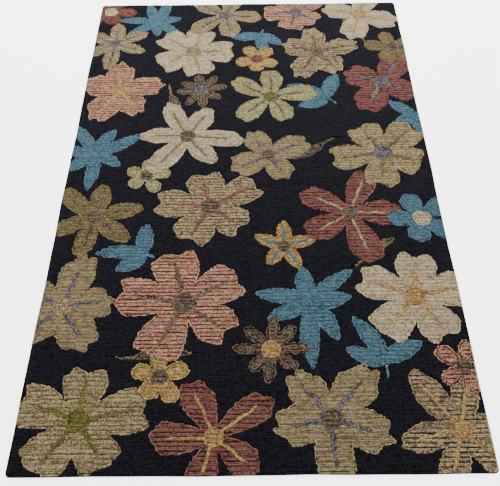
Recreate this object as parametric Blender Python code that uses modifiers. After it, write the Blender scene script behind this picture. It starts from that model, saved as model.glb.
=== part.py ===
"""A tufted wool rug with a floral pile, lying flat, in metres with +Z up.

The rug is one cloth: wool loops hooked through a woven foundation, whose edges are turned under
and sewn down. So it is one closed solid with no separate binding. The origin is on the floor
under the middle of the rug. Its width runs along X and its length along Y.
"""

import math

import bmesh
import bpy

NAME = "wool_rug"

WIDTH = 1.524
LENGTH = 2.438
CORNER_RADIUS = 0.014

PILE_HEIGHT = 0.008
FOUNDATION_THICKNESS = 0.003
THICKNESS = PILE_HEIGHT + FOUNDATION_THICKNESS

# The outermost loops lean outwards, and the turned edge underneath is a tight fold.
SHOULDER_RADIUS = 0.0050
SHOULDER_STEPS = 5
FOLD_RADIUS = 0.0016
FOLD_STEPS = 2

# Hand work leaves the edges a little wavy: how far each edge strays, how many half waves it has,
# and where in its wave it starts.
SIDE_WAVER = 0.0022
SIDE_WAVES = 3.3
END_WAVER = 0.0016
END_WAVES = 2.4
QUICK_SHARE = 0.3
QUICK_RATE = 2.7
RIGHT_PHASE = 0.4
FAR_PHASE = 1.1
LEFT_PHASE = 2.3
NEAR_PHASE = 3.0

EDGE_STEP = 0.040
CORNER_STEPS = 6
SHARP_ANGLE = math.radians(40)

WELD_DISTANCE = 0.00001
HEIGHT_TOLERANCE = 0.0001
LEVEL = 0.99

WOOL_COLOUR = (0.030, 0.030, 0.042, 1.0)
WOOL_ROUGHNESS = 0.95


def clear_scene():
    for obj in list(bpy.data.objects):
        bpy.data.objects.remove(obj, do_unlink=True)


def waver(place, half_side, size, waves, phase):
    """How far an edge strays outwards at a place along it. It fades out towards the corners."""
    share = place / half_side
    fade = 1.0 - share**4
    slow = math.sin(math.pi * waves * share + phase)
    quick = math.sin(math.pi * QUICK_RATE * waves * share + 2 * phase)
    return size * fade * ((1 - QUICK_SHARE) * slow + QUICK_SHARE * quick)


def side_stray(y, phase):
    return waver(y, LENGTH / 2, SIDE_WAVER, SIDE_WAVES, phase)


def end_stray(x, phase):
    return waver(x, WIDTH / 2, END_WAVER, END_WAVES, phase)


def straight_places(half_side):
    """Places along one side from corner arc to corner arc, evenly spread."""
    reach = half_side - CORNER_RADIUS
    count = round(2.0 * reach / EDGE_STEP)
    return [-reach + 2.0 * reach * k / count for k in range(1, count)]


def corner_points(x_sign, y_sign, start_angle):
    """The quarter circle of one corner, anticlockwise."""
    centre_x = x_sign * (WIDTH / 2 - CORNER_RADIUS)
    centre_y = y_sign * (LENGTH / 2 - CORNER_RADIUS)
    points = []
    for k in range(CORNER_STEPS + 1):
        angle = start_angle + math.pi / 2 * k / CORNER_STEPS
        points.append(
            (
                centre_x + CORNER_RADIUS * math.cos(angle),
                centre_y + CORNER_RADIUS * math.sin(angle),
            )
        )
    return points


def outline():
    """The rug's outline seen from above, anticlockwise from the near right corner."""
    points = corner_points(1, -1, -math.pi / 2)
    for y in straight_places(LENGTH / 2):
        points.append((WIDTH / 2 + side_stray(y, RIGHT_PHASE), y))
    points += corner_points(1, 1, 0.0)
    for x in reversed(straight_places(WIDTH / 2)):
        points.append((x, LENGTH / 2 + end_stray(x, FAR_PHASE)))
    points += corner_points(-1, 1, math.pi / 2)
    for y in reversed(straight_places(LENGTH / 2)):
        points.append((-WIDTH / 2 - side_stray(y, LEFT_PHASE), y))
    points += corner_points(-1, -1, math.pi)
    for x in straight_places(WIDTH / 2):
        points.append((x, -LENGTH / 2 - end_stray(x, NEAR_PHASE)))
    return points


def centred(points):
    """The same outline with the middle of its box at the origin."""
    middle_x = (min(x for x, y in points) + max(x for x, y in points)) / 2
    middle_y = (min(y for x, y in points) + max(y for x, y in points)) / 2
    return [(x - middle_x, y - middle_y) for x, y in points]


def outline_curve(points):
    """A flat closed curve that fills the outline and is as thick as the rug."""
    curve = bpy.data.curves.new("rug_outline", "CURVE")
    curve.dimensions = "2D"
    curve.fill_mode = "BOTH"
    curve.extrude = THICKNESS / 2
    spline = curve.splines.new("POLY")
    spline.points.add(len(points) - 1)
    for spline_point, (x, y) in zip(spline.points, points):
        spline_point.co = (x, y, 0.0, 1.0)
    spline.use_cyclic_u = True
    return curve


def slab_mesh(curve):
    """The filled curve as one closed mesh that stands on the floor."""
    guide = bpy.data.objects.new("rug_outline", curve)
    bpy.context.scene.collection.objects.link(guide)
    depsgraph = bpy.context.evaluated_depsgraph_get()
    mesh = bpy.data.meshes.new_from_object(guide.evaluated_get(depsgraph))
    bpy.data.objects.remove(guide, do_unlink=True)
    shape = bmesh.new()
    shape.from_mesh(mesh)
    bmesh.ops.remove_doubles(shape, verts=shape.verts, dist=WELD_DISTANCE)
    bmesh.ops.translate(shape, verts=shape.verts, vec=(0.0, 0.0, THICKNESS / 2))
    for side in (-1, 1):
        cap = [face for face in shape.faces if face.normal.z * side > LEVEL]
        bmesh.ops.dissolve_faces(shape, faces=cap)
    bmesh.ops.recalc_face_normals(shape, faces=shape.faces)
    shape.to_mesh(mesh)
    shape.free()
    return mesh


def round_rim(rug, name, height, radius, steps):
    """Rounds the rim at one height: its points go in a vertex group that a bevel reads."""
    group = rug.vertex_groups.new(name=name)
    rim = [v.index for v in rug.data.vertices if abs(v.co.z - height) < HEIGHT_TOLERANCE]
    group.add(rim, 1.0, "REPLACE")
    bevel = rug.modifiers.new(name, "BEVEL")
    bevel.width = radius
    bevel.segments = steps
    bevel.limit_method = "VGROUP"
    bevel.vertex_group = name
    bevel.use_clamp_overlap = False


def wool():
    material = bpy.data.materials.new("wool")
    material.use_nodes = True
    shader = material.node_tree.nodes["Principled BSDF"]
    shader.inputs["Base Color"].default_value = WOOL_COLOUR
    shader.inputs["Roughness"].default_value = WOOL_ROUGHNESS
    shader.inputs["Metallic"].default_value = 0.0
    return material


def make_rug():
    rug = bpy.data.objects.new(NAME, slab_mesh(outline_curve(centred(outline()))))
    parts = bpy.data.collections.new("wool rug")
    bpy.context.scene.collection.children.link(parts)
    parts.objects.link(rug)
    round_rim(rug, "shoulder", THICKNESS, SHOULDER_RADIUS, SHOULDER_STEPS)
    round_rim(rug, "fold", 0.0, FOLD_RADIUS, FOLD_STEPS)
    rug.data.materials.append(wool())
    rug.data.shade_smooth()
    rug.data.set_sharp_from_angle(angle=SHARP_ANGLE)


clear_scene()
make_rug()
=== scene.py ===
# %% [markdown]
# # A hooked wool rug, row by row
# The rug is made here as its maker makes it. A foundation cloth is stretched flat, the shapes of
# flowers and leaves are drawn on it, and each shape is filled with rows of wool loops. The packed
# model gives the flat slab that the rug fills, and everything below keeps to it within 0.2 mm.

# %% Load the frame
import math
from collections import namedtuple

import bmesh
import bpy
import numpy as np
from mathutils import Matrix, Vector


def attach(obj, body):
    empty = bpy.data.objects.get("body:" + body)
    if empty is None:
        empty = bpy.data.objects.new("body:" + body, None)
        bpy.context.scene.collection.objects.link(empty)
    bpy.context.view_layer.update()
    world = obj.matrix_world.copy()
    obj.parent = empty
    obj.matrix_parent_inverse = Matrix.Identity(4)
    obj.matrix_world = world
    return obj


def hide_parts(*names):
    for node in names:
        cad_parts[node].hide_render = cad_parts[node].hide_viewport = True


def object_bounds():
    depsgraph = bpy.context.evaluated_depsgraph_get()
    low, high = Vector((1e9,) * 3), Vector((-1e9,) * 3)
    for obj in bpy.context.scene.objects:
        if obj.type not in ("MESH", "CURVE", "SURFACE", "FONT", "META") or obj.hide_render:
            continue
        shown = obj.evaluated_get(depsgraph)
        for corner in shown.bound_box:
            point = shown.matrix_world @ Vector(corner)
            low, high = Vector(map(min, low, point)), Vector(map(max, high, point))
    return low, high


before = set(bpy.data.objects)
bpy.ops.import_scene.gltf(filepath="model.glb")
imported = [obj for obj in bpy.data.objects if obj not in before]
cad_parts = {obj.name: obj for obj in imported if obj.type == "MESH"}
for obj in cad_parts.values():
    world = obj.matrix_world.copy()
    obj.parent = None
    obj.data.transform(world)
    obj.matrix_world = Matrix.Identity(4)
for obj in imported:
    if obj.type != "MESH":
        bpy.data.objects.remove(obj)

cad_box = [list(corner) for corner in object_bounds()]
print("CAD box in metres:", [[round(value, 4) for value in corner] for corner in cad_box])

# %% [markdown]
# ## The sizes of the work
# A rug maker works with a few fixed sizes: how far apart the rows are, how high the loops stand
# and how long one loop is. Here five rows go to the inch. Every third row is hooked lower and in a
# second wool, which draws the fine stripes across the flowers. All other sizes follow from these.

# %% Name the driving sizes
NODE = "wool_rug"
BODY = "root"
INCH = 0.0254
ROW = INCH / 5
LOOP = 0.0040
TOP = cad_box[1][2]
FOUNDATION_TOP = 0.0036
FOLD_TOP = 0.0062
FOLD_WIDTH = 0.0024
BURIED = 0.0003
LOW_DROP = 0.0009
STRIPE_EVERY = 3
SAMPLE = 0.002
SEED = 7

chance = np.random.default_rng(SEED)
print(f"rows {ROW * 1000:.2f} mm apart, loops {TOP * 1000:.0f} mm high in all")

# %% [markdown]
# ## The rug's outline
# The sides of the rug waver a little, and the CAD node already has that outline. So it is read
# from the node: the points at the foot of its rounded shoulder form one ring, and sorting them by
# their direction from the middle puts them in order. A second list of typed points would only
# drift away from the first.

# %% Read the outline from the node
SHOULDER_FOOT = 0.006
RING_TOLERANCE = 0.0004


def ring_of(node, height):
    """The node's points at one height, anticlockwise, each once."""
    places = np.array([vertex.co for vertex in node.data.vertices])
    ring = places[np.abs(places[:, 2] - height) < RING_TOLERANCE, :2]
    ring = np.unique(np.round(ring, 6), axis=0)
    return ring[np.argsort(np.arctan2(ring[:, 1], ring[:, 0]))]


outline = ring_of(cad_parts[NODE], SHOULDER_FOOT)
print("outline points:", len(outline), "span:", np.round(np.ptp(outline, axis=0), 4))

# %% [markdown]
# ## Petals and leaves
# A petal is a bent oval. One formula draws them all: the oval can swell towards its tip, come to a
# point, have a notch as a primrose has, and bend to one side. Typing outlines point by point would
# give shapes that can't be resized, so only these few traits are named for each flower.

# %% Draw a petal
PETAL_POINTS = 48
NOTCH_WIDTH = 0.42
FRILLS = 7
ANY_PHASE = (0, 6)


def petal(length, width, swell=0.0, point=0.0, notch=0.0, bend=0.0, frill=0.0):
    """The outline of one petal that starts at the origin and lies along +X."""
    turn = np.linspace(-math.pi, math.pi, PETAL_POINTS, endpoint=False)
    tip = (1 + np.cos(turn)) / 2
    wave = 1 + frill * tip * np.cos(FRILLS * turn + chance.uniform(*ANY_PHASE))
    x = length * wave * (tip - notch * np.exp(-((turn / NOTCH_WIDTH) ** 2)))
    thin = np.abs(np.sin(turn)) ** (1 + point * tip)
    y = np.sign(np.sin(turn)) * thin * width / 2 * (1 + swell * np.cos(turn)) * wave
    return np.stack([x, y + bend * length * (x / length) ** 2], axis=1)


def turned(points, angle, centre):
    """Points turned about the origin and then moved to a centre."""
    cosine = math.cos(angle)
    sine = math.sin(angle)
    return points @ np.array([[cosine, sine], [-sine, cosine]]) + centre


print("a plain petal has", len(petal(1, 0.5)), "points")

# %% [markdown]
# ## Kinds of flower
# Each kind is a row of traits. Lengths and widths are shares of the flower's reach, which is how
# far its longest petal goes from the centre. The shapes are the ordinary ones of garden flowers,
# and the same rows also make leaf sprays, whose leaves differ in length and bend.

# %% List the kinds
Kind = namedtuple("Kind", "petals spread width swell point notch bend frill lengths centre rings")
KINDS = {
    "primrose": Kind(5, 360, 0.6, 0.5, 0.0, 0.12, 0.0, 0.04, (1, 0.9, 1, 0.94, 0.86), 0.17, 1),
    "dogwood": Kind(4, 360, 0.66, 0.3, 0.15, 0.0, 0.0, 0.05, (1, 0.84, 0.96, 0.9), 0.17, 1),
    "buttercup": Kind(5, 360, 0.47, 0.5, 0.0, 0.0, 0.07, 0.03, (1, 0.9, 0.96, 1, 0.84), 0.15, 1),
    "lily": Kind(6, 360, 0.4, 0.2, 0.5, 0.0, 0.06, 0.03, (1, 0.84, 0.95, 0.86, 1, 0.88), 0.14, 1),
    "mallow": Kind(5, 360, 0.6, 0.28, 0.4, 0.0, 0.05, 0.06, (1, 0.92, 0.84, 1, 0.88), 0.16, 1),
    "aster": Kind(8, 360, 0.34, 0.35, 0.1, 0.0, 0.05, 0.0, (1, 0.93, 0.98, 0.9), 0.26, 3),
    "jasmine": Kind(5, 360, 0.46, -0.05, 0.8, 0.0, 0.06, 0.0, (1, 0.92, 0.97, 0.9), 0.2, 2),
    "violet": Kind(5, 360, 0.56, 0.45, 0.0, 0.0, 0.0, 0.02, (1, 0.9, 0.95, 0.85), 0.26, 3),
    "spray": Kind(7, 300, 0.27, -0.1, 0.8, 0.0, 0.12, 0.0, (0.6, 0.9, 0.74, 1, 0.78), 0.0, 1),
    "sprig": Kind(3, 130, 0.36, -0.1, 0.75, 0.0, 0.18, 0.0, (0.8, 1, 0.72), 0.0, 1),
    "leaf": Kind(1, 0, 0.26, 0.0, 0.9, 0.0, 0.34, 0.0, (1,), 0.0, 3),
}
STEMS = {"sprig": 0.55, "leaf": 0.6}
print(len(KINDS), "kinds:", ", ".join(KINDS))

# %% [markdown]
# ## Where the flowers lie
# The pattern is tossed: flowers of several sizes are strewn over the ground with leaves in the
# gaps, and the rug's edge cuts some of them. The table is the drawing on the foundation. A later
# row lies over an earlier one.

# %% Lay out the pattern
COLUMNS = "kind x y reach turn petals centre veins"
Motif = namedtuple("Motif", COLUMNS, defaults=(None, None))
PATTERN = [
    Motif("spray", 0.22, -0.60, 0.25, 110, "teal"),
    Motif("spray", -0.66, 0.15, 0.24, 330, "teal"),
    Motif("spray", -0.46, 1.07, 0.21, 20, "teal"),
    Motif("sprig", 0.46, -0.84, 0.19, 40, "teal"),
    Motif("sprig", 0.36, 0.49, 0.21, 80, "teal"),
    Motif("sprig", -0.40, -0.38, 0.18, 100, "teal"),
    Motif("sprig", 0.06, 0.96, 0.18, 200, "teal"),
    Motif("sprig", 0.74, 0.38, 0.17, 150, "teal"),
    Motif("leaf", 0.32, 0.20, 0.20, 230, "brown"),
    Motif("leaf", -0.36, 0.52, 0.20, 300, "brown"),
    Motif("leaf", -0.40, -0.82, 0.18, 20, "brown"),
    Motif("leaf", 0.56, 0.94, 0.18, 130, "olive"),
    Motif("leaf", 0.43, -0.42, 0.17, 60, "olive"),
    Motif("primrose", -0.56, -1.04, 0.23, 14, "tan", "green", "green"),
    Motif("buttercup", -0.12, -1.10, 0.22, 40, "rust", "gold", "gold"),
    Motif("lily", 0.67, -1.08, 0.25, 10, "oat", "gold", "gold"),
    Motif("mallow", 0.26, -1.04, 0.22, 50, "khaki", "brown", "grey"),
    Motif("violet", -0.31, -0.89, 0.11, 20, "gold", "brown"),
    Motif("mallow", -0.68, -0.61, 0.22, 80, "khaki", "tan", "grey"),
    Motif("primrose", -0.24, -0.60, 0.26, 30, "salmon", "brown", "brown"),
    Motif("aster", 0.07, -0.79, 0.13, 0, "brown", "gold"),
    Motif("primrose", 0.60, -0.58, 0.23, 10, "cream", "gold", "gold"),
    Motif("lily", -0.62, -0.20, 0.21, 20, "olive", "brown", "brown"),
    Motif("primrose", -0.16, -0.15, 0.23, 30, "oat", "brown", "rust"),
    Motif("jasmine", 0.13, -0.35, 0.13, 15, "gold", "brown", "teal"),
    Motif("buttercup", 0.40, -0.19, 0.23, 70, "rust", "brown", "tan"),
    Motif("violet", 0.68, -0.22, 0.14, 40, "teal", "cream"),
    Motif("violet", -0.43, 0.02, 0.10, 10, "sage", "brown"),
    Motif("lily", -0.27, 0.25, 0.25, 0, "cream", "brown", "olive"),
    Motif("dogwood", 0.08, 0.13, 0.18, 30, "khaki", "brown", "grey"),
    Motif("primrose", 0.57, 0.14, 0.23, 45, "tan", "grey", "brown"),
    Motif("violet", 0.72, -0.86, 0.11, 0, "salmon", "brown"),
    Motif("mallow", -0.60, 0.55, 0.22, 20, "salmon", "gold", "gold"),
    Motif("aster", -0.22, 0.55, 0.12, 10, "brown", "grey"),
    Motif("buttercup", 0.10, 0.50, 0.21, 10, "sage", "green", "brown"),
    Motif("dogwood", 0.62, 0.59, 0.22, 60, "rust", "grey", "grey"),
    Motif("primrose", -0.27, 0.83, 0.23, 0, "cream", "khaki", "khaki"),
    Motif("lily", -0.66, 0.90, 0.19, 30, "tan", "grey", "grey"),
    Motif("violet", 0.04, 0.77, 0.11, 50, "gold", "rust"),
    Motif("mallow", 0.33, 0.82, 0.21, 20, "oat", "brown", "brown"),
    Motif("violet", 0.70, 0.85, 0.13, 30, "olive", "brown"),
    Motif("violet", -0.71, 1.16, 0.13, 70, "rust", "cream"),
    Motif("buttercup", -0.12, 1.12, 0.20, 0, "khaki", "grey", "grey"),
    Motif("primrose", 0.24, 1.14, 0.18, 40, "salmon", "grey", "grey"),
    Motif("dogwood", 0.57, 1.12, 0.21, 70, "cream", "gold", "gold"),
]
print(len(PATTERN), "flowers and leaves")

# %% [markdown]
# ## From a row of the table to shapes
# Hand drawing is never even, so each petal's length, width and direction stray a little from the
# rule, and each vein waves a little.

# %% Build the outlines of every motif
STRAY = 0.08
STEM_WIDTH = 0.0115
STEM_TUCK = 0.032
HEART = 0.22
AXIS_POINTS = 14
VEIN_WAVE = 0.0022
VEIN_RATE = 95
CIRCLE_POINTS = 32
WOBBLES = (0.05, 0.03)
Shape = namedtuple("Shape", "motif kind petals axes centre low high")


def wobbly_circle(centre, radius):
    """A circle as a hand draws it, a little uneven."""
    angle = np.linspace(0, 2 * math.pi, CIRCLE_POINTS, endpoint=False)
    wave = 1 + WOBBLES[0] * np.sin(3 * angle + chance.uniform(*ANY_PHASE))
    wave = wave + WOBBLES[1] * np.sin(5 * angle)
    ring = np.stack([np.cos(angle), np.sin(angle)], axis=1)
    return centre + ring * (radius * wave)[:, None]


def shape_of(motif):
    """The petals, their middle lines and the centre of one motif, in the rug's place."""
    kind = KINDS[motif.kind]
    place = np.array([motif.x, motif.y])
    step = kind.spread / (kind.petals if kind.spread == 360 else max(kind.petals - 1, 1))
    petals = []
    axes = []
    for number in range(kind.petals):
        longer = 1 + chance.uniform(-STRAY, STRAY)
        length = motif.reach * kind.lengths[number % len(kind.lengths)] * longer
        width = motif.reach * kind.width * (1 + chance.uniform(-STRAY, STRAY))
        angle = math.radians(motif.turn + number * step) + chance.uniform(-STRAY, STRAY)
        bend = kind.bend * (1 if number % 2 else -1)
        raw = petal(length, width, kind.swell, kind.point, kind.notch, bend, kind.frill)
        petals.append(turned(raw, angle, place))
        along = np.linspace(0, length, AXIS_POINTS)
        wave = VEIN_WAVE * np.sin(along * VEIN_RATE + chance.uniform(*ANY_PHASE))
        middle = np.stack([along, bend * length * (along / length) ** 2 + wave], axis=1)
        axes.append(turned(middle, angle, place))
    centre = None
    if kind.centre:
        centre = wobbly_circle(place, kind.centre * motif.reach)
        petals.append(wobbly_circle(place, HEART * motif.reach))
    if motif.kind in STEMS:
        middle = kind.spread / 2 + 180
        stem = petal(motif.reach * STEMS[motif.kind], STEM_WIDTH, bend=-kind.bend, point=0.3)
        stem = stem - [STEM_TUCK, 0]
        petals.append(turned(stem, math.radians(motif.turn + middle), place))
    every = np.concatenate(petals)
    return Shape(motif, kind, petals, axes, centre, every.min(axis=0), every.max(axis=0))


shapes = [shape_of(motif) for motif in PATTERN]
print("largest span:", round(max(float(np.ptp(s.petals[0], axis=0).max()) for s in shapes), 3), "m")

# %% [markdown]
# ## How deep inside a shape is a point?
# Everything that follows asks this one question: rows stop a little before the outline, the
# outline row runs half a row inside it, and the ground starts just outside. The answer is the
# distance to the nearest edge that isn't hidden inside another petal, positive inside.

# %% Measure depth
CHUNK = 4000


def inside(points, ring):
    """Whether each point is inside a closed outline, by counting the edges to its right."""
    start = ring
    end = np.roll(ring, -1, axis=0)
    x = points[:, :1]
    y = points[:, 1:]
    spans = (start[:, 1] > y) != (end[:, 1] > y)
    rise = np.where(start[:, 1] == end[:, 1], 1.0, end[:, 1] - start[:, 1])
    cross = (end[:, 0] - start[:, 0]) * (y - start[:, 1]) / rise + start[:, 0]
    return (spans & (x < cross)).sum(axis=1) % 2 == 1


def outer_edges(rings):
    """Starts and ends of the edges of several outlines that lie in none of the others."""
    starts = []
    ends = []
    for number, ring in enumerate(rings):
        end = np.roll(ring, -1, axis=0)
        middle = (ring + end) / 2
        hidden = np.zeros(len(ring), bool)
        for other, cover in enumerate(rings):
            if other != number:
                hidden |= inside(middle, cover)
        starts.append(ring[~hidden])
        ends.append(end[~hidden])
    return np.concatenate(starts), np.concatenate(ends)


def distance(points, starts, ends):
    """From each point to the nearest of some straight edges."""
    edge = ends - starts
    size = np.maximum((edge**2).sum(axis=1), 1e-12)
    found = []
    for first in range(0, len(points), CHUNK):
        to = points[first : first + CHUNK, None, :] - starts
        share = np.clip((to * edge).sum(axis=2) / size, 0, 1)
        gap = to - share[..., None] * edge
        found.append(np.sqrt((gap**2).sum(axis=2).min(axis=1)))
    return np.concatenate(found) if found else np.zeros(0)


def depth(points, rings, edges):
    """How deep each point is inside some outlines, or less than nothing outside them."""
    within = np.zeros(len(points), bool)
    for ring in rings:
        within |= inside(points, ring)
    far = distance(points, *edges)
    return np.where(within, far, -far)


borders = [outer_edges(shape.petals) for shape in shapes]
print("outline edges in the pattern:", sum(len(starts) for starts, ends in borders))

# %% [markdown]
# ## Lines at a given depth
# The loops that outline a flower form a closed line half a row inside it. To find such lines, the
# depth is used as the height of a small landscape, and a level plane cuts it, as the contour lines
# of a map do. Bisecting a mesh does that cut and never fails at a notch or where petals meet.

# %% Cut level lines
GRID = 0.004
FEWEST_POINTS = 6


def chains(edges):
    """Joins loose edges into lines of points, each followed from vertex to vertex."""
    links = {}
    for edge in edges:
        a, b = edge.verts
        links.setdefault(a, []).append(b)
        links.setdefault(b, []).append(a)
    lines = []
    left = dict.fromkeys(links)
    while left:
        vertex = next(iter(left))
        line = []
        while vertex is not None:
            left.pop(vertex)
            line.append((vertex.co.x, vertex.co.y))
            vertex = next((other for other in links[vertex] if other in left), None)
        lines.append(np.array(line))
    return [line for line in lines if len(line) >= FEWEST_POINTS]


def level_lines(shape, edges, levels):
    """Closed lines at some depths inside a shape, as lists of points."""
    low = shape.low - 2 * GRID
    high = shape.high + 2 * GRID
    counts = np.ceil((high - low) / GRID).astype(int) + 1
    land = bmesh.new()
    bmesh.ops.create_grid(land, x_segments=int(counts[0]), y_segments=int(counts[1]), size=0.5)
    places = np.array([vertex.co for vertex in land.verts])[:, :2]
    places = low + (places + 0.5) * (high - low)
    heights = depth(places, shape.petals, edges)
    for vertex, (x, y), height in zip(land.verts, places, heights):
        vertex.co = (x, y, height)
    found = []
    for level in levels:
        sliced = land.copy()
        cut = bmesh.ops.bisect_plane(
            sliced,
            geom=sliced.verts[:] + sliced.edges[:] + sliced.faces[:],
            plane_co=(0, 0, level),
            plane_no=(0, 0, 1),
        )
        found.append(chains(e for e in cut["geom_cut"] if isinstance(e, bmesh.types.BMEdge)))
        sliced.free()
    land.free()
    return found


print("level lines are cut on a grid of", GRID * 1000, "mm")

# %% [markdown]
# ## What each stitch belongs to
# A fine chart now says, for each place along each row, which shape lies on top there. It is filled
# shape by shape in the order of the table. Places under an outline row, a vein or the edge of a
# centre are marked as taken, because they get loops of their own later.

# %% Chart the rows
GROUND = 0
TAKEN = -1
OUTSIDE = -2
RIM = 0.0075
RIM_ROW = 0.0056
EDGE_BAND = 0.03
OVERHANG = 0.0004
SWAY = 0.0012
Wave = namedtuple("Wave", "share across up")
SWAY_WAVES = [Wave(1.0, 7, 2.1), Wave(0.6, 17, -5.3)]
VEIN_START = 0.9
VEIN_LANES = {0.5: 0.78, -0.5: 0.7}
BROAD_PETAL = 0.55
BROAD_LANES = {0: 0.78, 1: 0.68, -1: 0.52}

half = np.abs(outline).max(axis=0)
half_width, half_length = half
row_lines = np.arange(-half_length + RIM + ROW / 2, half_length - RIM, ROW)
columns = np.arange(-half_width, half_width, SAMPLE)
chart = np.stack(np.meshgrid(columns, row_lines), axis=2)
for wave in SWAY_WAVES:
    phase = chart[..., 0] * wave.across + chart[..., 1] * wave.up
    chart[..., 1] += wave.share * SWAY * np.sin(phase)
owner = np.full(chart.shape[:2], GROUND)
rug_edges = outer_edges([outline])


def window(low, high):
    """The part of the chart that a box covers, as slices."""
    rows = np.searchsorted(row_lines, [low[1] - 3 * SWAY, high[1] + 3 * SWAY])
    cols = np.searchsorted(columns, [low[0], high[0]])
    return slice(*rows), slice(*cols)


def by_the_edge(points):
    """Whether each point is so near the rug's edge that its depth has to be measured."""
    return (np.abs(points) > half - EDGE_BAND).any(axis=-1)


def sideways(line):
    """The way to the left at each point of a line, one unit long."""
    way = np.gradient(line, axis=0)
    side = np.stack([-way[:, 1], way[:, 0]], axis=1)
    return side / np.maximum(np.linalg.norm(side, axis=1), 1e-9)[:, None]


def vein_lanes(shape):
    """The rows of each petal's vein, side by side: three on a broad petal, otherwise two."""
    if not shape.motif.veins:
        return []
    first = shape.kind.centre * VEIN_START
    offsets = BROAD_LANES if shape.kind.width > BROAD_PETAL else VEIN_LANES
    lanes = []
    for axis in shape.axes:
        for offset, reach in offsets.items():
            share = np.linspace(first, reach, len(axis))
            old = np.linspace(0, 1, len(axis))
            part = np.stack([np.interp(share, old, axis[:, i]) for i in range(2)], axis=1)
            lanes.append(part + sideways(part) * (offset * ROW))
    return lanes


def mark(number, shape, edges):
    """Writes one shape into the chart."""
    rows, cols = window(shape.low, shape.high)
    places = chart[rows, cols].reshape(-1, 2)
    if not len(places):
        return
    codes = owner[rows, cols].reshape(-1)
    deep = depth(places, shape.petals, edges)
    codes[deep > -OVERHANG] = TAKEN
    codes[deep > shape.kind.rings * ROW] = 2 * number + 1
    within = deep > 0
    for line in lanes[number]:
        near = distance(places, line[:-2], line[1:-1]) < ROW / 2
        codes[near & within] = TAKEN
    if shape.centre is not None:
        middle = depth(places, [shape.centre], outer_edges([shape.centre]))
        codes[middle > 0] = TAKEN
        codes[middle > ROW] = 2 * number + 2
    owner[rows, cols] = codes.reshape(owner[rows, cols].shape)


lanes = [vein_lanes(shape) for shape in shapes]
for number, shape in enumerate(shapes):
    mark(number, shape, borders[number])

rim_zone = by_the_edge(chart)
rim_depth = depth(chart[rim_zone], [outline], rug_edges)
owner[rim_zone] = np.where(rim_depth > RIM, owner[rim_zone], OUTSIDE)
print("rows:", len(row_lines), "share of ground:", round(float((owner == GROUND).mean()), 3))

# %% [markdown]
# ## The yarn rack
# Each wool is spun from fibres of several shades, so it has a light and a dark shade and flecks of
# a third. A partner, a darker wool, goes with it in the low rows, and the last column says how
# much of it shows. Colours are written as the screen shows them and turned into light values
# later, because shaders work in light values.

# %% Name the wools
Wool = namedtuple("Wool", "light dark fleck partner stripe")
WOOLS = {
    "navy": Wool((25, 25, 34), (9, 9, 15), (41, 40, 46), (12, 13, 19), 0.3),
    "cream": Wool((219, 202, 166), (150, 133, 104), (136, 106, 84), (134, 112, 86), 0.6),
    "oat": Wool((198, 175, 136), (104, 85, 59), (64, 60, 50), (34, 26, 24), 1.2),
    "tan": Wool((194, 175, 130), (109, 93, 62), (88, 78, 60), (80, 62, 48), 0.8),
    "khaki": Wool((178, 161, 119), (107, 93, 62), (124, 96, 84), (92, 74, 54), 0.7),
    "olive": Wool((152, 136, 94), (86, 74, 47), (76, 72, 52), (68, 54, 38), 0.6),
    "sage": Wool((192, 184, 136), (116, 111, 74), (108, 90, 68), (92, 87, 56), 0.6),
    "salmon": Wool((214, 169, 139), (128, 80, 64), (106, 94, 80), (88, 24, 20), 1.5),
    "rust": Wool((153, 98, 88), (78, 35, 34), (122, 110, 96), (38, 10, 14), 1.1),
    "teal": Wool((93, 131, 148), (43, 74, 90), (108, 130, 134), (38, 62, 76), 0.6),
    "brown": Wool((126, 108, 90), (52, 40, 32), (146, 128, 104), (28, 21, 17), 1.0),
    "gold": Wool((210, 176, 112), (130, 99, 56), (112, 90, 60), (102, 72, 42), 0.6),
    "grey": Wool((138, 131, 134), (50, 46, 48), (34, 30, 32), (40, 36, 38), 0.7),
    "green": Wool((134, 131, 70), (72, 72, 32), (70, 66, 44), (58, 56, 30), 0.5),
}
print(len(WOOLS), "wools")

# %% [markdown]
# ## Laying rows
# A laid row is a line of points with a width and a height, kept under the wool it is made of. Rows
# across a shape come from the chart: wherever the top shape changes along a row, one row ends and
# the next begins. Their ends tuck in under the outline row by a fraction of a row.

# %% Collect the rows across shapes
Row = namedtuple("Row", "points width top stripe shade stray crown")
laid = {name: [] for name in WOOLS}
FULL = 1.16 * ROW
CROWN = 0.86
FLAT_CROWN = 0.95
STRAY_ASIDE = 0.0007
TUCK = (-0.0006, 0.0024)
SHORTEST = 0.003
GROUND_STEP = 0.018
FLOWER_STEP = 0.011
LEAST_STRIPE = 0.45


def travelled(points):
    """How far along a line each of its points is."""
    gaps = np.linalg.norm(np.diff(points, axis=0), axis=1)
    return np.concatenate([[0], np.cumsum(gaps)])


def spaced(points, step):
    """The same line with its points evenly apart, about one step."""
    along = travelled(points)
    count = max(2, int(round(along[-1] / step)) + 1)
    at = np.linspace(0, along[-1], count)
    return np.stack([np.interp(at, along, points[:, i]) for i in range(2)], axis=1)


def lay(wool, points, step, top=TOP, width=FULL, stripe=0.0, shade=0.0, stray=STRAY_ASIDE):
    """Notes one row of a wool, its points about a step apart."""
    crown = FLAT_CROWN if wool == "navy" else CROWN
    laid[wool].append(Row(spaced(points, step), width, top, stripe, shade, stray, crown))


def runs(codes):
    """(first, last, code) for each stretch of equal codes in one row."""
    cuts = np.flatnonzero(np.diff(codes)) + 1
    bounds = np.concatenate([[0], cuts, [len(codes)]])
    return [(a, b - 1, codes[a]) for a, b in zip(bounds[:-1], bounds[1:])]


def wool_of(code):
    """The wool that a code in the chart stands for."""
    if code == GROUND:
        return "navy"
    motif = shapes[(code - 1) // 2].motif
    return motif.petals if code % 2 else motif.centre


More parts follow.
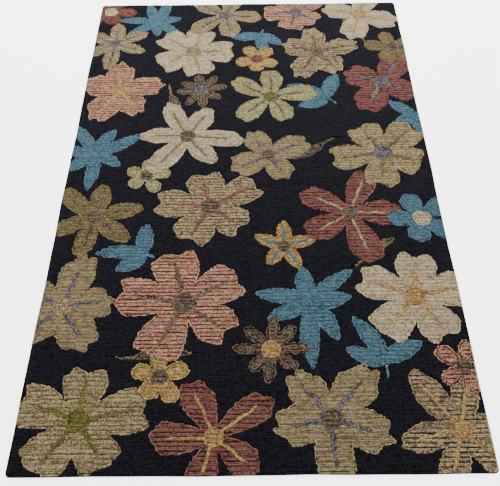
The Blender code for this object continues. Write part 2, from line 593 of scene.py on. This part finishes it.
for number, codes in enumerate(owner):
    for first, last, code in runs(codes):
        line = chart[number, first : last + 1].copy()
        if code < GROUND or len(line) * SAMPLE < SHORTEST:
            continue
        line[0, 0] -= chance.uniform(*TUCK)
        line[-1, 0] += chance.uniform(*TUCK)
        low = code != GROUND and (number + code) % STRIPE_EVERY == 0
        lay(
            wool_of(code),
            line,
            FLOWER_STEP if code else GROUND_STEP,
            top=TOP - LOW_DROP * low,
            stripe=low * chance.uniform(LEAST_STRIPE, 1),
        )
print("rows laid across:", sum(len(rows) for rows in laid.values()))

# %% [markdown]
# ## Outline rows, veins and centres
# These rows follow a line of their own. Each is kept only where nothing lies over it: a later
# shape covers it wherever it reaches, and so does the rim row near the rug's edge. The loops of
# an outline are the least even ones, because they are hooked one by one round its bends.

# %% Collect the rows that follow a line
CURVE_STEP = 0.0055
OUTLINE_LIFT = 0.0002
COVERED = 0.0002
OWN_GAP = 0.7
OUTLINE_STEP = 0.0034
OUTLINE_SHADE = -0.04
OUTLINE_STRAY = 0.0024


def shown(points, number):
    """Whether each point of a line on one shape is covered by nothing."""
    clear = np.ones(len(points), bool)
    low = points.min(axis=0)
    high = points.max(axis=0)
    for above in range(number + 1, len(shapes)):
        over = shapes[above]
        if np.all(over.low < high) and np.all(over.high > low):
            clear &= depth(points, over.petals, borders[above]) < COVERED
    near = by_the_edge(points)
    clear[near] &= depth(points[near], [outline], rug_edges) > RIM
    return clear


def pieces_of(points, clear):
    """The stretches of a line that are clear."""
    return [points[a : b + 1] for a, b, code in runs(clear.astype(int)) if code and b - a > 1]


def beside_own(points, number):
    """Whether each point is clear of the shape's own veins and centre."""
    clear = np.ones(len(points), bool)
    for line in lanes[number]:
        clear &= distance(points, line[:-2], line[1:-1]) > ROW * OWN_GAP
    centre = shapes[number].centre
    if centre is not None:
        clear &= ~inside(points, centre)
    return clear


def lay_line(wool, points, number, apart=False, step=CURVE_STEP, **looks):
    """Lays a row along a line, in as many pieces as the covering leaves."""
    closed = np.linalg.norm(points[0] - points[-1]) < 2 * GRID
    if closed:
        points = np.concatenate([points, points[:1]])
    points = spaced(points, step / 2)
    clear = shown(points, number)
    if apart:
        clear &= beside_own(points, number)
    if closed and not clear.all() and clear.any():
        start = int(np.flatnonzero(~clear)[0])
        points = np.roll(points[:-1], -start, axis=0)
        clear = np.roll(clear[:-1], -start)
    for piece in pieces_of(points, clear):
        lay(wool, piece, step, **looks)


def lay_shape(number, shape, edges):
    """The outline row of one shape, and all its rings where it is filled with rings."""
    levels = [(ring + 0.5) * ROW for ring in range(shape.kind.rings)]
    for ring, lines in enumerate(level_lines(shape, edges, levels)):
        for line in lines:
            low = ring % STRIPE_EVERY == 1
            lay_line(
                shape.motif.petals,
                line,
                number,
                apart=ring > 0,
                step=CURVE_STEP if ring else OUTLINE_STEP,
                top=TOP + OUTLINE_LIFT - LOW_DROP * low,
                stripe=float(low),
                shade=0.0 if ring else OUTLINE_SHADE,
                stray=OUTLINE_STRAY if ring == 0 else STRAY_ASIDE,
            )


def lay_centre(number, shape):
    """The row round the centre of one flower, half a row inside it."""
    middle = shape.centre.mean(axis=0)
    out = shape.centre - middle
    radius = np.linalg.norm(out, axis=1)[:, None]
    ring = middle + out * (1 - ROW / 2 / radius)
    lay_line(shape.motif.centre, ring, number)


for number, shape in enumerate(shapes):
    lay_shape(number, shape, borders[number])
    for line in lanes[number]:
        lay_line(shape.motif.veins, line, number)
    if shape.centre is not None and shape.motif.centre:
        lay_centre(number, shape)
print("rows in all:", sum(len(rows) for rows in laid.values()))

# %% [markdown]
# ## The rim
# One last row goes round the whole rug. Its loops lean outwards over the folded edge, so it is a
# little lower than the others, and it takes the wool of whatever it passes.

# %% Lay the rim row
RIM_TOP = TOP - 0.0008
RIM_SAMPLE = 0.004
RIM_STEP = 0.008


def top_shape(points):
    """The number of the shape on top at each point, or -1 on the ground."""
    found = np.full(len(points), -1)
    for number, shape in enumerate(shapes):
        box = np.all((points > shape.low) & (points < shape.high), axis=1)
        if box.any():
            deep = depth(points[box], shape.petals, borders[number])
            found[np.flatnonzero(box)[deep > 0]] = number
    return found


rim_line = spaced(np.concatenate([outline, outline[:1]]), RIM_SAMPLE)
rim_line = rim_line + sideways(rim_line) * (RIM - RIM_ROW / 2)
for first, last, code in runs(top_shape(rim_line)):
    wool = "navy" if code < 0 else shapes[code].motif.petals
    if last > first:
        lay(wool, rim_line[first : last + 1], RIM_STEP, top=RIM_TOP, width=RIM_ROW)
print("rim length:", round(float(travelled(rim_line)[-1]), 3), "m")

# %% [markdown]
# ## Lofting the rows
# A row of loops is a ridge: a flat foot on the foundation, steep sides and a rounded crest. The
# same five corners are set up at every point of every row and joined. A curve with a bevel profile
# would make such ridges too, but not with loops counted along each row, and the wool needs that.
# Each row drifts a little to the side and swells and narrows, as loops pulled up by hand do. The
# map called yarn holds the loop number along the row and the row's number across it. The map
# called OFBake shows the rug from above, for when the materials are turned into pictures.

# %% Loft all rows of one wool
ACROSS = np.array([-0.5, -0.42, 0.0, 0.42, 0.5])
CRESTED = np.array([0.0, 0.0, 1.0, 0.0, 0.0])
SHOULDERED = np.array([0.0, 1.0, 0.0, 1.0, 0.0])
FOOT = FOUNDATION_TOP - BURIED
CREST_STRAY = 0.0003
# A row's width strays by this share for each metre of its drift.
WIDTH_STRAY = 160
SOFT_MEAN = (0.25, 0.5, 0.25)
END_DROP = 0.0012
SPLAY = 0.0012
YARN_MARGIN = 0.02
# Rows start at different loops, and row numbers start again before they lose precision.
LOOP_SHIFT = 7
SHIFTS = 11
ROW_NUMBERS = 997
PLAN_MARGIN = 1.002
row_count = 0


def ring_points(row):
    """The corners of one row's ridge: points along it, five corners each, three numbers."""
    line = row.points
    side = sideways(line)
    count = len(line)
    crest = row.top - CREST_STRAY * chance.uniform(0, 2, count)
    crest[[0, -1]] -= END_DROP
    ring = np.empty((count, len(ACROSS), 3))
    drift = np.convolve(chance.normal(0, row.stray, count + 2), SOFT_MEAN, "valid")
    middle = line + side * drift[:, None]
    widths = row.width * (1 + chance.normal(0, row.stray * WIDTH_STRAY, count))
    ring[..., :2] = middle[:, None] + side[:, None] * (ACROSS * widths[:, None])[..., None]
    for end, sign in ((0, -1), (-1, 1)):
        ahead = np.array([side[end, 1], -side[end, 0]])
        ring[end, [0, -1], :2] += sign * ahead * SPLAY
    ring[..., 2] = FOOT + (CRESTED + SHOULDERED * row.crown) * (crest - FOOT)[:, None]
    return ring


def ridge_faces(count, first):
    """Corner numbers of one ridge: its foot first, then its other sides, then its two ends."""
    sides = len(ACROSS)
    ring = np.arange(count - 1)[:, None] * sides + first
    order = np.roll(np.arange(sides), 1)
    a = ring + order
    b = ring + (order + 1) % sides
    quads = np.stack([a, a + sides, b + sides, b], axis=2).reshape(-1, 4)
    start = first + np.arange(sides)
    end = first + (count - 1) * sides + np.arange(sides)[::-1]
    return quads, start, end


def loft(name, rows):
    """One mesh object of many ridges, with its yarn map and its two marks for the shader."""
    global row_count
    corners = []
    faces = []
    loops = []
    marks = []
    total = 0
    share = (ACROSS - ACROSS[0]) / (ACROSS[-1] - ACROSS[0])
    share = share * (1 - 2 * YARN_MARGIN) + YARN_MARGIN
    for row in rows:
        ring = ring_points(row)
        count = len(ring)
        along = travelled(row.points) / LOOP + LOOP_SHIFT * (row_count % SHIFTS)
        yarn = np.empty((count, len(ACROSS), 2))
        yarn[..., 0] = along[:, None]
        yarn[..., 1] = row_count % ROW_NUMBERS + share
        corners.append(ring.reshape(-1, 3))
        loops.append(yarn.reshape(-1, 2))
        marks.append(np.tile([row.stripe, row.shade], (count * len(ACROSS), 1)))
        quads, start, end = ridge_faces(count, total)
        faces += [quads, start, end]
        total += count * len(ACROSS)
        row_count += 1
    corners = np.concatenate(corners)
    mesh = bpy.data.meshes.new(name)
    fill(mesh, corners, faces)
    yarn = np.concatenate(loops)
    marks = np.concatenate(marks)
    order = np.empty(len(mesh.loops), np.int32)
    mesh.loops.foreach_get("vertex_index", order)
    mesh.uv_layers.new(name="yarn").uv.foreach_set("vector", yarn[order].astype(np.float32).ravel())
    flat = (corners[:, :2] / (2 * half * PLAN_MARGIN) + 0.5).astype(np.float32)
    mesh.uv_layers.new(name="OFBake").uv.foreach_set("vector", flat[order].ravel())
    for column, mark_name in enumerate(("stripe", "shade")):
        attribute = mesh.attributes.new(mark_name, "FLOAT", "POINT")
        attribute.data.foreach_set("value", marks[:, column].astype(np.float32))
    piece = bpy.data.objects.new(name, mesh)
    bpy.context.scene.collection.objects.link(piece)
    return piece


def fill(mesh, corners, faces):
    """Gives an empty mesh its corners and faces, quads and caps in one go."""
    flat = np.concatenate([face.ravel() for face in faces]).astype(np.int32)
    sizes = np.concatenate(
        [np.full(len(f), 4) if f.ndim == 2 else np.array([len(f)]) for f in faces]
    )
    mesh.vertices.add(len(corners))
    mesh.vertices.foreach_set("co", corners.astype(np.float32).ravel())
    mesh.loops.add(len(flat))
    mesh.loops.foreach_set("vertex_index", flat)
    mesh.polygons.add(len(sizes))
    starts = np.concatenate([[0], np.cumsum(sizes)[:-1]]).astype(np.int32)
    mesh.polygons.foreach_set("loop_start", starts)
    mesh.update(calc_edges=True)
    mesh.validate()
    mesh.shade_smooth()


pile = {}
for name, rows in laid.items():
    if rows:
        pile[name] = loft(f"{name}_pile", rows)
triangles = {}
for name, piece in pile.items():
    triangles[name] = sum(len(face.vertices) - 2 for face in piece.data.polygons)
print("triangles:", triangles, "in all", sum(triangles.values()))

# %% [markdown]
# ## The foundation
# Under the loops lies the foundation: a strong cloth, folded under all round and sewn down. It is
# modelled by hand. A circle of as many points as the outline has takes the outline's shape, is
# extruded to its thickness, and the face underneath is inset twice and moved up a little, which
# leaves the folded hem standing proud of the plain cloth inside it. The hem's inner line is
# straight with square corners, as a mitred hem has, so the inset corners are moved onto it. The
# face on top is inset and lowered to where the loops stand, inside the fold at the edge.

# %% Model the foundation
HEM_WIDTH = 0.028
HEM_STEP = 0.0008
EDGE_ROUND = 0.0008
EDGE_INSET = 0.0002
WELD = 0.00002
LEVEL_TOLERANCE = 0.00001
FOLD_ANGLE = math.radians(60)
SMOOTH_ANGLE = math.radians(40)


def only(piece):
    """Selects one object and makes it the active one."""
    bpy.ops.object.select_all(action="DESELECT")
    piece.select_set(True)
    bpy.context.view_layer.objects.active = piece


def in_edit(piece):
    """Goes into edit mode on one object, with none of its faces selected."""
    only(piece)
    bpy.ops.object.mode_set(mode="EDIT")
    bpy.ops.mesh.select_mode(type="FACE")
    bpy.ops.mesh.select_all(action="DESELECT")


bpy.ops.object.select_all(action="DESELECT")
bpy.ops.mesh.primitive_circle_add(vertices=len(outline), radius=1, fill_type="NGON")
foundation = bpy.context.active_object
foundation.name = "foundation"
foundation.data.name = "foundation"
for vertex in foundation.data.vertices:
    x, y = outline[vertex.index] * (1 - EDGE_INSET)
    vertex.co = (x, y, 0)
in_edit(foundation)
bpy.ops.mesh.select_all(action="SELECT")
bpy.ops.mesh.normals_make_consistent(inside=False)
bpy.ops.mesh.extrude_region_move(TRANSFORM_OT_translate={"value": (0, 0, FOLD_TOP)})
bpy.ops.mesh.select_all(action="SELECT")
bpy.ops.mesh.normals_make_consistent(inside=False)
bpy.ops.object.mode_set(mode="OBJECT")
print("foundation points:", len(foundation.data.vertices))

# %% Fold the hem under
def pick_face(piece, height):
    """Goes into edit mode with only the flat face at one height selected."""
    level = [f for f in piece.data.polygons if abs(f.center.z - height) < LEVEL_TOLERANCE]
    largest = max(level, key=lambda face: face.area).index
    in_edit(piece)
    bpy.ops.object.mode_set(mode="OBJECT")
    piece.data.polygons[largest].select = True
    bpy.ops.object.mode_set(mode="EDIT")


def square_off(piece, margin, height):
    """Moves the corners of the selected face onto a rectangle inside the rug's sides."""
    limit = half - margin
    bpy.ops.object.mode_set(mode="OBJECT")
    for vertex in piece.data.vertices:
        if vertex.select:
            x, y = np.clip(vertex.co.xy, -limit, limit)
            vertex.co = (x, y, height)
    bpy.ops.object.mode_set(mode="EDIT")


pick_face(foundation, 0)
bpy.ops.mesh.inset(thickness=HEM_STEP)
square_off(foundation, HEM_WIDTH, 0)
bpy.ops.mesh.inset(thickness=0)
square_off(foundation, HEM_WIDTH + HEM_STEP, HEM_STEP)
bpy.ops.mesh.select_all(action="SELECT")
bpy.ops.mesh.remove_doubles(threshold=WELD)
bpy.ops.object.mode_set(mode="OBJECT")
pick_face(foundation, FOLD_TOP)
bpy.ops.mesh.inset(thickness=FOLD_WIDTH)
bpy.ops.mesh.inset(thickness=FOLD_WIDTH / 4)
bpy.ops.transform.translate(value=(0, 0, FOUNDATION_TOP - FOLD_TOP))
bpy.ops.object.mode_set(mode="OBJECT")
bevel = foundation.modifiers.new("fold", "BEVEL")
bevel.width = EDGE_ROUND
bevel.segments = 2
bevel.limit_method = "ANGLE"
bevel.angle_limit = FOLD_ANGLE
only(foundation)
bpy.ops.object.modifier_apply(modifier="fold")
bpy.ops.object.shade_smooth_by_angle(angle=SMOOTH_ANGLE)
print("foundation faces:", len(foundation.data.polygons))

# %% [markdown]
# ## Shader maths in Python
# A wool's colour is arithmetic on the yarn map: the whole part of a number says which loop or row
# this is, and the rest says where in it. Written as expressions it reads like arithmetic. The
# class wraps one output of a node, and each operator adds the node that does it.

# %% Wrap a socket
GLOSS = 0.05


class Wire:
    """One output of a node, usable in Python expressions on numbers."""

    def __init__(self, tree, socket):
        self.tree = tree
        self.socket = socket

    def node(self, kind, settings=None, inputs=None, output=0):
        """Adds any node: its settings first, then values or wires for its sockets."""
        made = self.tree.nodes.new(kind)
        for name, value in (settings or {}).items():
            setattr(made, name, value)
        for name, value in (inputs or {}).items():
            if isinstance(value, Wire):
                self.tree.links.new(value.socket, made.inputs[name])
            else:
                made.inputs[name].default_value = value
        return Wire(self.tree, made.outputs[output])

    def also(self, name):
        """Another output of the same node."""
        return Wire(self.tree, self.socket.node.outputs[name])

    def maths(self, operation, *values):
        return self.node("ShaderNodeMath", {"operation": operation}, dict(enumerate(values)))

    def __add__(self, other):
        return self.maths("ADD", self, other)

    def __radd__(self, other):
        return self.maths("ADD", other, self)

    def __sub__(self, other):
        return self.maths("SUBTRACT", self, other)

    def __rsub__(self, other):
        return self.maths("SUBTRACT", other, self)

    def __mul__(self, other):
        return self.maths("MULTIPLY", self, other)

    def __rmul__(self, other):
        return self.maths("MULTIPLY", other, self)

    def __abs__(self):
        return self.maths("ABSOLUTE", self)

    def floor(self):
        return self.maths("FLOOR", self)

    def clamp(self):
        return self.node("ShaderNodeClamp", None, {"Value": self})

    def smooth(self, low, high):
        """From 0 below low to 1 above high, in a soft step."""
        return self.node(
            "ShaderNodeMapRange",
            {"interpolation_type": "SMOOTHSTEP"},
            {"Value": self, "From Min": low, "From Max": high},
        )

    def noise(self, scale, detail=2.0):
        """A soft noise, read at this place."""
        looks = {"Vector": self, "Scale": scale, "Detail": detail}
        return self.node("ShaderNodeTexNoise", None, looks)

    def with_y(self, other):
        """A place made of this number and another."""
        return self.node("ShaderNodeCombineXYZ", None, {0: self, 1: other})

    def blend(self, first, second):
        """A colour between two, by this number."""
        return self.node(
            "ShaderNodeMix",
            {"data_type": "RGBA", "clamp_factor": True},
            {0: self, 6: first, 7: second},
            2,
        )


def new_material(name):
    """An empty material, its shader and a wire to start expressions from."""
    material = bpy.data.materials.new(name)
    material.use_nodes = True
    tree = material.node_tree
    shader = tree.nodes["Principled BSDF"]
    return material, shader, Wire(tree, None)


def light_value(colour):
    """A colour as the screen shows it, from 0 to 255, as light for a shader."""
    shares = [channel / 255 for channel in colour]
    linear = [s / 12.92 if s <= 0.04045 else ((s + 0.055) / 1.055) ** 2.4 for s in shares]
    return (*linear, 1.0)


def finish(material, shader, colour, bump, roughness):
    """Joins a colour and a bump to the shader, which is rough and hardly glossy."""
    material.node_tree.links.new(colour.socket, shader.inputs["Base Color"])
    material.node_tree.links.new(bump.socket, shader.inputs["Normal"])
    shader.inputs["Roughness"].default_value = roughness
    shader.inputs["Specular IOR Level"].default_value = GLOSS


def held_number(start, name):
    """A number that the mesh holds at each point."""
    return start.node("ShaderNodeAttribute", {"attribute_name": name}).also("Fac")


print("mid grey as light:", round(light_value((128, 128, 128))[0], 3))

# %% [markdown]
# ## Wool
# Looked at closely, one loop is one shade and the next is another, because the yarn is spun from
# mixed fibres. Whole rows differ a little too, and the dye isn't even over the rug. Striped rows
# let the second wool through in dashes. Each loop is an arch with fine hairs along it, and painted
# shade makes it darkest where it goes down beside its neighbours. Modelling every loop would take
# millions of faces, so the rows are modelled, and colour with painted shade and the bump make the
# loops in them. Wool has no gloss, only a faint sheen from its fibres.

# %% Name the numbers of a wool
TWIST = 0.45
HAIRS = (1.3, 11.0)
ROWS_APART = 37.3
Scale = namedtuple("Scale", "hairs spun dashes fibre dye")
SCALE = Scale(1.0, 0.24, 0.11, 800.0, 9.0)
Tone = namedtuple("Tone", "spun loop fibre row hairs dye less")
TONE = Tone(0.7, 0.75, 0.3, 0.35, 0.35, 0.4, 1.0)
SOFT = (0.3, 0.7)
FLECKED = (0.72, 0.92)
FLECK = 0.75
HUE_MIDDLE = 0.515
HUE_SPREAD = 0.035
ROW_HUE = 0.03
DASHES = (0.3, 0.5)
DASH_SHARE = 0.7
DASH_LOOP = 0.4
# Painted shade: the wool's colour is darkened towards this near-black where each loop dips at its
# ends and along the sides of each row.
VALLEY_SHADE_RANGE = (0.3, 0.5)
VALLEY_SHADE = 0.5
ARCH_SHADE_RANGE = (-0.1, 0.7)
ARCH_SHADE = 0.45
PAINTED_SHADE_COLOUR = (6, 6, 7)
Rise = namedtuple("Rise", "arch hairs fibre")
RISE = Rise(0.9, 0.25, 0.25)
LOOP_BUMP = 0.8
LOOP_DEPTH = 0.0018
SHEEN = 0.03
SHEEN_SPREAD = 0.5
WOOL_ROUGHNESS = 0.95
print("one loop is", LOOP * 1000, "mm long")


# %% Make the wools
def wool_material(name, wool):
    """The finish of one wool, worked out from the yarn map of its rows."""
    material, shader, start = new_material(f"{name}_wool")
    yarn = start.node("ShaderNodeUVMap", {"uv_map": "yarn"})
    parts = yarn.node("ShaderNodeSeparateXYZ", None, {0: yarn})
    u = parts.also("X")
    v = parts.also("Y")
    row = v.floor()
    across = v - row
    slanted = u + across * TWIST
    loop = slanted.floor()
    along = slanted - loop
    # What is chosen at random for each loop and for each row.
    key = loop.with_y(row)
    pick = key.node("ShaderNodeTexWhiteNoise", {"noise_dimensions": "2D"}, {"Vector": key})
    hue = pick.node("ShaderNodeSeparateColor", None, {0: pick.also("Color")})
    strength = hue.also("Green")
    row_pick = row.node("ShaderNodeTexWhiteNoise", {"noise_dimensions": "1D"}, {"W": row})
    # What changes softly: over the rug, across the hairs and along the strand.
    place = start.node("ShaderNodeTexCoord").also("Object")
    fibre = place.noise(SCALE.fibre, 3.0)
    hairs = (slanted * HAIRS[0]).with_y(v * HAIRS[1]).noise(SCALE.hairs)
    strand = u.with_y(row * ROWS_APART)
    spun = strand.noise(SCALE.spun)
    dashes = strand.noise(SCALE.dashes)
    dye = place.noise(SCALE.dye)
    stripe = held_number(start, "stripe")
    shade = held_number(start, "shade")
    # The colour: light to dark, then flecks, a turn of hue, and the second wool.
    tone = spun.smooth(*SOFT) * TONE.spun + pick * TONE.loop + fibre * TONE.fibre
    tone = tone + row_pick * TONE.row + shade
    tone = tone + hairs.smooth(*SOFT) * TONE.hairs + dye * TONE.dye - TONE.less
    colour = tone.clamp().blend(light_value(wool.light), light_value(wool.dark))
    flecks = strength.smooth(*FLECKED) * FLECK
    colour = flecks.blend(colour, light_value(wool.fleck))
    turn = HUE_MIDDLE + (hue - 0.5) * HUE_SPREAD - row_pick * ROW_HUE
    colour = colour.node("ShaderNodeHueSaturation", None, {"Hue": turn, "Color": colour})
    through = stripe * (dashes.smooth(*DASHES) * DASH_SHARE + pick * DASH_LOOP) * wool.stripe
    colour = through.clamp().blend(colour, light_value(wool.partner))
    # The arch of each loop, painted shade where it dips and in the gaps beside it, and the bump.
    bulge = 1 - abs(along - 0.5) * abs(along - 0.5) * 4
    valley_shade = 1 - abs(across - 0.5).smooth(*VALLEY_SHADE_RANGE) * VALLEY_SHADE
    shadow = (bulge.smooth(*ARCH_SHADE_RANGE) * ARCH_SHADE + (1 - ARCH_SHADE)) * valley_shade
    colour = shadow.blend(light_value(PAINTED_SHADE_COLOUR), colour)
    height = bulge.smooth(0.0, 1.1) * RISE.arch + hairs * RISE.hairs + fibre * RISE.fibre
    raised = {"Strength": LOOP_BUMP, "Distance": LOOP_DEPTH, "Height": height}
    bump = height.node("ShaderNodeBump", None, raised)
    finish(material, shader, colour, bump, WOOL_ROUGHNESS)
    shader.inputs["Sheen Weight"].default_value = SHEEN
    shader.inputs["Sheen Roughness"].default_value = SHEEN_SPREAD
    return material


for name, piece in pile.items():
    piece.data.materials.append(wool_material(name, WOOLS[name]))
print("wool materials:", len(pile))

# %% [markdown]
# ## Foundation cloth
# The fold at the edge and the underside are plain woven cotton, dyed dark. A plain weave is two
# sets of thin waves at right angles, each on top where the other dips.

# %% Make the cloth
THREAD = 0.0011
CLOTH_DARK = (22, 22, 28)
CLOTH_LIGHT = (48, 47, 52)
CLOTH_ROUGHNESS = 0.9
WEAR_SCALE = 22.0
WEAVE_TONE = 0.5
WEAR_TONE = 0.7
DARKER = 0.2
WEAVE_BUMP = 0.5
WEAVE_DEPTH = 0.0004


def cloth_material():
    """Plain weave in a dark dye, a little worn."""
    material, shader, start = new_material("foundation_cloth")
    place = start.node("ShaderNodeTexCoord").also("Object")
    parts = place.node("ShaderNodeSeparateXYZ", None, {0: place})
    x = parts * (math.pi / THREAD)
    y = parts.also("Y") * (math.pi / THREAD)
    warp = abs(x.maths("SINE", x))
    weft = abs(y.maths("SINE", y))
    weave = warp.maths("MAXIMUM", warp, weft)
    wear = place.noise(WEAR_SCALE, 4.0)
    tone = (weave * WEAVE_TONE + wear * WEAR_TONE - DARKER).clamp()
    colour = tone.blend(light_value(CLOTH_DARK), light_value(CLOTH_LIGHT))
    raised = {"Strength": WEAVE_BUMP, "Distance": WEAVE_DEPTH, "Height": weave}
    bump = weave.node("ShaderNodeBump", None, raised)
    finish(material, shader, colour, bump, CLOTH_ROUGHNESS)
    return material


foundation.data.materials.append(cloth_material())
print("cloth threads", THREAD * 1000, "mm apart")

# %% [markdown]
# ## Put the rug together
# Every piece rides on the one body, and together they stand for the CAD slab. The foundation is a
# cloth sheet. It was cut larger than the rug by the hem that is folded under on each side, and the
# wools are the pieces on it.

pieces = [foundation, *pile.values()]
for piece in pieces:
    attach(piece, BODY)
    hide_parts(NODE)

# %% [markdown]
# ## Floor, light and camera
# The rug lies on a plain pale floor in soft, even light, a little stronger towards its far end.
# The camera stands at its near end, about two metres up, and looks down at it.

# %% Make the stage
FLOOR_SIZE = 14
FLOOR_DROP = 0.0002
FLOOR_GLOW = 3.4
FLOOR_ROUGHNESS = 0.9
PALE = (0.9, 0.9, 0.9, 1)
WHITE = (1, 1, 1, 1)
PANEL_SIZE = (4.0, 2.4)
PANEL_PLACE = Vector((0, 2.0, 2.4))
PANEL_AIM = Vector((0, 0.9, 0))
PANEL_POWER = 178
ROOM_LIGHT = 0.82

bpy.ops.object.select_all(action="DESELECT")
bpy.ops.mesh.primitive_plane_add(size=FLOOR_SIZE, location=(0, 0, -FLOOR_DROP))
floor = bpy.context.active_object
floor.name = "floor"
floor_material, floor_shader, _ = new_material("pale_floor")
floor_shader.inputs["Base Color"].default_value = PALE
floor_shader.inputs["Roughness"].default_value = FLOOR_ROUGHNESS
floor_shader.inputs["Emission Color"].default_value = WHITE
floor_shader.inputs["Emission Strength"].default_value = FLOOR_GLOW
floor.data.materials.append(floor_material)

lamp = bpy.data.lights.new("far_panel", "AREA")
lamp.shape = "RECTANGLE"
lamp.size, lamp.size_y = PANEL_SIZE
lamp.energy = PANEL_POWER
panel = bpy.data.objects.new("far_panel", lamp)
bpy.context.scene.collection.objects.link(panel)
panel.location = PANEL_PLACE
panel.rotation_euler = (PANEL_PLACE - PANEL_AIM).to_track_quat("Z", "Y").to_euler()
world = bpy.data.worlds.new("studio")
world.use_nodes = True
background = world.node_tree.nodes["Background"]
background.inputs["Color"].default_value = WHITE
background.inputs["Strength"].default_value = ROOM_LIGHT
bpy.context.scene.world = world
print("floor", FLOOR_SIZE, "m square, one soft lamp of", PANEL_POWER, "W")

# %% Set the camera
PHOTO_WIDTH = 500
FOCAL_PIXELS = 668
SENSOR = 36
STAND = (0.008, -1.86, 2.071 + TOP)
TURN = (36.35, 0.48, -0.35)
camera_data = bpy.data.cameras.new("camera")
camera_data.sensor_width = SENSOR
camera_data.lens = FOCAL_PIXELS * SENSOR / PHOTO_WIDTH
camera = bpy.data.objects.new("camera", camera_data)
bpy.context.scene.collection.objects.link(camera)
camera.location = STAND
camera.rotation_euler = [math.radians(angle) for angle in TURN]
bpy.context.scene.camera = camera
print("view transform:", bpy.context.scene.view_settings.view_transform)
